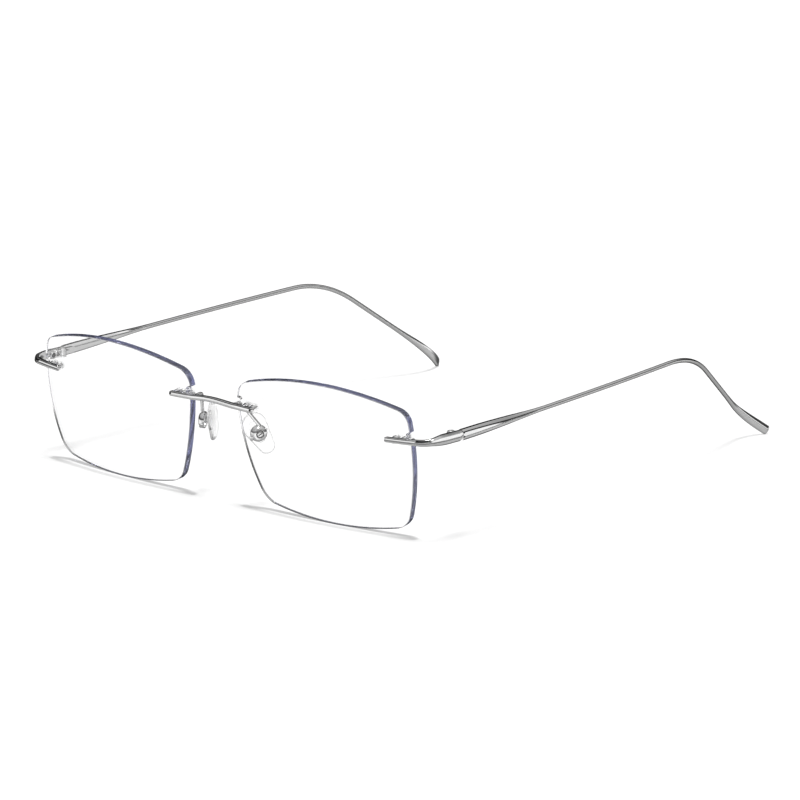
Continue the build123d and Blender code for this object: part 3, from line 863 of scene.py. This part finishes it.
def endpiece_corners(place, half):
    """The section's corners, as (share of the thickness, height), at a place on the outer line."""
    panel = smooth(place.y, 1.5, 8.5)
    recess = recess_share(place)
    line = half * mix(0.12, 0.0, panel)
    upper = half * mix(0.62, 0.7, panel) - 0.3 * recess
    return [(0.0, half), (0.0, -half), (0.75, -half), (0.96, -half * 0.72), (1.0, -half * 0.3),
            (1.0, line - 0.28), (0.9, line - 0.14), (0.985, line), (mix(0.955, 0.925, panel), upper),
            (0.86 - 0.46 * panel - 0.08 * recess, half)]


# The sides of endpiece_corners painted dark as painted shade, by the corner they start from: the two
# walls of the outer face's line, and, along the recess only, the slope below the upper edge.
ENDPIECE_SHADED_SIDES = (5, 6)
RECESS_SHADED_SIDE = 8


def make_endpiece(name, side, materials):
    rings = []
    recess_shade_rows = set()
    for outer, inner in zip(*endpiece_edges(ENDPIECE_STEPS)):
        if recess_share(outer) > 0.5:
            recess_shade_rows.add(len(rings))
        low, high = endpiece_heights(outer.y)
        tall, deep = end_size(max(0.0, ENDPIECE_FOOT_END - outer.x))
        middle, half = (low + high) / 2, (high - low) / 2 * tall
        depth = (outer - inner) * deep
        ring = []
        for across, up in round_section(endpiece_corners(outer, half), ENDPIECE_ROUNDING):
            flat = inner + depth * across
            ring.append(mm(flat.x, flat.y, middle + up, side))
        rings.append(ring)
    bar = loft_mesh("endpiece_bar", rings, shaded_sides=shaded_columns(*ENDPIECE_SHADED_SIDES))
    # Along the recess, the slope below the upper edge takes the painted shade too.
    recess_shade_columns = shaded_columns(RECESS_SHADED_SIDE)
    count = len(rings[0])
    darken_faces(bar, lambda index: index // count in recess_shade_rows and index % count in recess_shade_columns)
    mesh = join_meshes(f"{name}_polished", [bar] + fitting_posts(OUTER_FITTING, -1, side))
    return add_piece(f"{name}_polished", mesh, materials, "front", [name])


# ---------------------------------------------------------------- temples

TEMPLE_START = (68.8, 15.95, 26.2)
TEMPLE_HEIGHT = 2.75
TEMPLE_THICKNESS = 1.6
WIRE_DIAMETER = 1.25
TAPER_START = 3.0
TAPER_END = 33.5
STRETCHES = (85.4, 21.6, 22.4, 16.8)
YAWS = (0.1, -4.55, -16.3, -16.3, 28.2)
PITCHES = (2.008, 2.008, -35.0, -35.0, -34.0)
PADDLE_START = 122.0
PADDLE_HEIGHT = 2.6
PADDLE_THICKNESS = 1.1
# The paddle's section is this share of the way from an oval to a rounded box. A higher power makes the
# box's corners sharper.
PADDLE_SQUARENESS = 0.55
BOX_POWER = 5
WEDGE_END = 24.0
TEMPLE_STEP = 0.5
TEMPLE_ROUNDING = 0.07
TIP_ROUNDING = 0.8
TIP_STEPS = (0.4, 0.25, 0.12, 0.05)
# Small pits near the hinge, as shares of the temple's half thickness and heights above its middle. They
# lie this far behind its front end.
DOTS = ((0.95, 0.68), (1, -0.36), (-1, 0.42), (-1, -0.75))
DOT_RADIUS = 0.24
DOT_DISTANCE = 0.35

ENDS = [sum(STRETCHES[:k]) for k in range(5)]


def along_temple(s, values):
    """A value that runs straight between those at the ends of the stretches."""
    for low, high, a, b in zip(ENDS, ENDS[1:], values, values[1:]):
        if s <= high:
            return mix(a, b, (s - low) / (high - low))
    return values[-1]


def temple_direction(s):
    yaw = math.radians(along_temple(s, YAWS))
    pitch = math.radians(along_temple(s, PITCHES))
    return Vector((math.sin(yaw) * math.cos(pitch), math.cos(yaw) * math.cos(pitch), math.sin(pitch)))


def temple_stations():
    """Distance, centre point and direction along the temple, by adding up short steps."""
    count = round(ENDS[-1] / TEMPLE_STEP)
    size = ENDS[-1] / count
    point = Vector(TEMPLE_START)
    found = [(0.0, point.copy(), temple_direction(0))]
    for k in range(count):
        point = point + temple_direction((k + 0.5) * size) * size
        found.append(((k + 1) * size, point.copy(), temple_direction((k + 1) * size)))
    return found


def temple_section(s):
    """The ring of (outwards, up) points at a distance from the hinge."""
    taper = smooth(s, TAPER_START, TAPER_END)
    half_height = mix(TEMPLE_HEIGHT, WIRE_DIAMETER, taper) / 2
    half_width = mix(TEMPLE_THICKNESS, WIRE_DIAMETER, taper) / 2
    paddle = smooth(s, PADDLE_START, ENDS[-1] - 2)
    half_height += (PADDLE_HEIGHT - WIRE_DIAMETER) / 2 * paddle
    half_width += (PADDLE_THICKNESS - WIRE_DIAMETER) / 2 * paddle
    wedge = 1 - smooth(s, 0, WEDGE_END)
    w, h = half_width, half_height
    upper = h * mix(0.10, 0.44, wedge)
    lower = h * mix(-0.02, -0.24, wedge)
    seam = mix(0.2, 0.34, wedge)
    inner = h * 0.34
    corners = [(-w, inner), (-w + 0.14, inner - 0.13), (-w, inner - 0.26), (-w, -h * 0.72),
               (-w * 0.55, -h), (w * 0.5, -h), (w * 0.97, -h * 0.68), (w, lower - 0.14),
               (w - 0.1, lower - 0.07), (w, lower), (w * 0.9, upper), (w * 0.78, upper + seam),
               (w * 0.24, h), (-w * 0.96, h)]
    roundness = smooth(s, WEDGE_END * 0.7, TAPER_END)
    boxed = PADDLE_SQUARENESS * paddle
    ring = []
    for facet in round_section(corners, TEMPLE_ROUNDING):
        angle = math.atan2(facet.y / h, facet.x / w)
        wire = Vector((w * math.cos(angle), h * math.sin(angle)))
        point = facet * (1 - roundness) + wire * roundness
        if boxed:
            angle = math.atan2(point.y / h, point.x / w)
            spread = abs(math.cos(angle)) ** BOX_POWER + abs(math.sin(angle)) ** BOX_POWER
            grow = spread ** (-1 / BOX_POWER)
            point = point * mix(1, grow, boxed)
        ring.append(point)
    end = max(0.0, 1 - (ENDS[-1] - s) / TIP_ROUNDING)
    rounding = math.sqrt(max(0.05, 1 - 0.8 * end ** 3))
    return [point * rounding for point in ring]


# The sides of the section painted dark, by the corner they start from: as painted shade, the walls of the
# line in the inner face and the walls of the line in the outer face, and, as a painted reflection, the
# slope above that line.
TEMPLE_SHADED_SIDES = (0, 1, 7, 8, 10)


def make_temple(name, side, materials):
    rings = []
    stations = temple_stations()
    last, tip, heading = stations[-1]
    extra = [(last - back, tip - heading * back, heading) for back in TIP_STEPS]
    stations = stations[:-1] + extra + stations[-1:]
    for s, centre, forward in stations:
        yaw = math.radians(along_temple(s, YAWS))
        outwards = Vector((math.cos(yaw), -math.sin(yaw), 0))
        upwards = outwards.cross(forward)
        ring = []
        for across, up in temple_section(s):
            point = centre + outwards * across + upwards * up
            ring.append(mm(point.x, point.y, point.z, side))
        rings.append(ring)
    meshes = [loft_mesh("temple_bar", rings, shaded_sides=shaded_columns(*TEMPLE_SHADED_SIDES))]
    x, y, z = TEMPLE_START
    half = TEMPLE_THICKNESS / 2
    for share, up in DOTS:
        spot = mm(x + half * share, y + DOT_DISTANCE, z + up, side)
        meshes.append(dot_mesh(spot, (share * side, 0, 0), DOT_RADIUS))
    mesh = join_meshes(f"{name}_polished", meshes)
    return add_piece(f"{name}_polished", mesh, materials, name, [name])


# ---------------------------------------------------------------- nose pads

PAD_PIVOT = Vector((8.8, 7.1, 18.8))
PAD_UP = Vector((-0.28, -0.43, 0.86)).normalized()
PAD_BACKWARD = PAD_UP.cross(Vector((0.855, -0.518, 0.02))).normalized()
PAD_AWAY = PAD_BACKWARD.cross(PAD_UP)
# The cup's outline turned round its axis, as (radius, distance from the nose side): from the middle
# of its back, over a boss, a ring-shaped groove and the rim, to the middle of its floor.
CUP_OUTLINE = [(0.35, 2.75), (0.6, 2.72), (0.72, 2.64), (0.76, 2.44), (0.98, 2.44), (1.02, 2.62),
               (1.1, 2.67), (1.35, 2.6), (1.6, 2.45), (1.82, 2.22), (2.0, 1.93), (2.12, 1.6),
               (2.19, 1.25), (2.2, 1.02), (2.14, 0.95), (1.8, 0.95), (1.75, 1.02), (1.75, 1.6),
               (1.6, 1.9), (1.0, 2.1), (0.4, 2.1)]
CUP_STEPS = 48
# The outline's steps of the groove, painted dark as painted shade. The slot is drawn as a dark box
# standing for its shade.
CUP_SHADED_GROOVE = range(2, 5)
CUP_SLOT_WIDTH = 0.3
CUP_SLOT_REACH = 0.6
CUP_SLOT_DEPTHS = (2.6, 2.765)


def pad_point(back, up, away, side):
    """A point given backwards, upwards and away from the nose, from the pad's pivot."""
    point = PAD_PIVOT + PAD_BACKWARD * back + PAD_UP * up + PAD_AWAY * away
    return mm(point.x, point.y, point.z, side)


def make_cup(name, side, materials):
    """The round metal box on the end of the pad's arm, with a slotted boss in its back. Its groove and
    slot are painted shade.
    """
    angles = turns(CUP_STEPS)
    rings = [[pad_point(radius * math.cos(a), radius * math.sin(a), away, side) for a in angles]
             for radius, away in CUP_OUTLINE]
    centres = (pad_point(0, 0, CUP_OUTLINE[0][1], side), pad_point(0, 0, CUP_OUTLINE[-1][1], side))
    body = loft_mesh("cup_body", rings, centres)
    darken_faces(body, lambda index: index // CUP_STEPS in CUP_SHADED_GROOVE)
    half, (floor, top) = CUP_SLOT_WIDTH / 2, CUP_SLOT_DEPTHS
    ends = []
    for end in (-CUP_SLOT_REACH, CUP_SLOT_REACH):
        corners = ((-half, floor), (half, floor), (half, top), (-half, top))
        ends.append([pad_point(end, up, away, side) for up, away in corners])
    slot = loft_mesh("cup_slot", ends)
    darken_faces(slot, lambda index: True)
    mesh = join_meshes(f"{name}_polished", [body, slot])
    return add_piece(f"{name}_polished", mesh, materials, "front", [name])


# The two round ends of the pad, as how far back and how far up their middles are, and their radius.
PAD_CIRCLES = ((0.3, 1.9, 3.3), (0.3, -4.6, 2.1))
PAD_MIDDLE = (0.3, -0.9)
# The pad's outline shares and depths: from the crown that touches the nose, round the rim, to the dish.
PAD_PROFILE = [(0.12, -2.1), (0.3, -2.07), (0.5, -1.98), (0.68, -1.82), (0.82, -1.58), (0.92, -1.28),
               (0.98, -0.92), (1.0, -0.6), (0.985, -0.32), (0.94, -0.15), (0.88, -0.1), (0.8, -0.14),
               (0.68, -0.22), (0.5, -0.26), (0.3, -0.26), (0.12, -0.26)]


def pad_outline():
    """Points round the pad, which is wide at the top and narrow at the bottom."""
    (x, top, top_radius), (_, bottom, bottom_radius) = PAD_CIRCLES
    lean = math.asin((top_radius - bottom_radius) / (top - bottom))
    half_turn, full_turn = math.pi + lean, 2 * math.pi - lean
    arcs = []
    for middle, radius, first, last, count in ((top, top_radius, -lean, half_turn, 30),
                                               (bottom, bottom_radius, half_turn, full_turn, 18)):
        arcs.append([Vector((x + radius * math.cos(a), middle + radius * math.sin(a)))
                     for a in (mix(first, last, k / count) for k in range(count + 1))])
    ring = []
    for arc, following in (arcs, arcs[::-1]):
        ring += arc
        ring += [arc[-1].lerp(following[0], k / 10) for k in range(1, 10)]
    return ring


# The steps of the profile that make the pad's round rim, whose clear plastic looks darker edge on.
PAD_RIM_STEPS = range(6, 9)


def make_nose_pad(name, side, materials):
    """A soft clear pad: crowned towards the nose, with a round rim and a shallow dish in its back."""
    middle = Vector(PAD_MIDDLE)
    outline = pad_outline()
    rings = []
    for share, away in PAD_PROFILE:
        places = [middle.lerp(point, share) for point in outline]
        rings.append([pad_point(back, up, away, side) for back, up in places])
    centres = [pad_point(*PAD_MIDDLE, PAD_PROFILE[end][1], side) for end in (0, -1)]
    mesh = loft_mesh(f"{name}_soft", rings, centres)
    darken_faces(mesh, lambda index: index // len(outline) in PAD_RIM_STEPS)
    return add_piece(f"{name}_soft", mesh, materials, name, [name])


# ---------------------------------------------------------------- the whole

def paint_cad(name, material):
    """Give a CAD node that stays as it is its material."""
    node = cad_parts[name]
    node.data.materials.clear()
    node.data.materials.append(material)
    for face in node.data.polygons:
        face.material_index = 0


# Light goes through many clear surfaces, one behind the other.
MOST_BOUNCES = 40
MOST_BOUNCES_OF_A_KIND = 32


def make_materials():
    """The looks, by the pieces or the CAD nodes that take them."""
    steel = metal("turned_steel", 0.85, 0.4, 0.05)
    screw = metal("socket_screw", 0.8, 0.2, 0.04)
    # The leaf screw's socket is painted black around its axis, as painted shade.
    darken_near(screw, (0, LEAF_SCREW_Y, LEAF_SCREW_Z), LEAF_SCREW_SOCKET_SHADE)
    silver = metal("polished_silver", 0.84, 0.12, 0.03)
    clear_sleeve = clear("clear_sleeve", (0.99, 0.99, 0.99), 0.01, ior=1.35, cloud=0.02, unbent=0.85)
    return {
        # The second polished material is near-black: painted shade in grooves, pits and slots, and
        # painted reflection on dark-looking slopes.
        "polished": [silver, metal("painted_shade_metal", 0.03, 0.5, 0.02)],
        "lens": [clear("lens_plastic", (1, 1, 1)),
                 clear("lens_edge", (0.17, 0.18, 0.34), 0.12, lamp_share=0.42),
                 clear("lens_broken_corner", (0.24, 0.24, 0.255), 0.1, lamp_share=0.42)],
        "nose_pad": [clear("silicone", (0.97, 0.97, 0.97), ior=1.28, cloud=0.01, unbent=0.78),
                     clear("silicone_rim", (0.5, 0.5, 0.5), ior=1.28, cloud=0.01, unbent=0.45)],
        "sleeve_nasal": clear_sleeve,
        "sleeve_temporal": clear_sleeve,
        "pad_insert": clear("pad_core", (0.97, 0.97, 0.97), 0.02, ior=1.35, cloud=0.04, unbent=0.5),
        "leaf_screw": screw,
        "corner_pin": metal("corner_pin", 0.3, 0.3, 0.04),
        "hinge_screw": steel,
        "pad_screw": steel,
        "hinge_washers": metal("washer", 0.7, 0.5, 0.05),
        "front_leaf": silver,
        "temple_leaf": silver,
        "pad_arm": silver,
    }


# The record's material slot of each CAD node that stays as it is.
CAD_SLOTS = {
    "sleeve_nasal": "clear_sleeve",
    "sleeve_temporal": "clear_sleeve",
    "leaf_screw": "screw_steel",
    "corner_pin": "screw_steel",
    "hinge_screw": "screw_steel",
    "pad_screw": "screw_steel",
    "front_leaf": "polished_metal",
    "temple_leaf": "polished_metal",
    "pad_arm": "polished_metal",
    "pad_insert": "pad_core",
    "hinge_washers": "washer",
}


def main():
    scene = bpy.context.scene
    scene.view_settings.view_transform = "Standard"
    scene.cycles.max_bounces = MOST_BOUNCES
    scene.cycles.glossy_bounces = MOST_BOUNCES_OF_A_KIND
    scene.cycles.transmission_bounces = MOST_BOUNCES_OF_A_KIND
    scene.cycles.transparent_max_bounces = MOST_BOUNCES_OF_A_KIND
    make_camera()
    make_world()
    make_overhead_light("overhead_softbox", *SOFTBOX)
    # Only the lenses cast shadows from the narrow light, as thin lines on the floor.
    rims = bpy.data.collections.new("lens_rims")
    make_overhead_light("rim_light", *RIM_LIGHT).light_linking.blocker_collection = rims
    make_floor()

    materials = make_materials()
    polished = materials["polished"]
    make_bridge(polished)
    for word, side in SIDES.items():
        rims.objects.link(make_lens(f"lens_{word}", side, materials["lens"]))
        make_endpiece(f"endpiece_{word}", side, polished)
        make_temple(f"temple_{word}", side, polished)
        make_cup(f"pad_cup_{word}", side, polished)
        make_nose_pad(f"nose_pad_{word}", side, materials["nose_pad"])
        for name, slot in CAD_SLOTS.items():
            paint_cad(f"{name}_{word}", materials[name])


main()
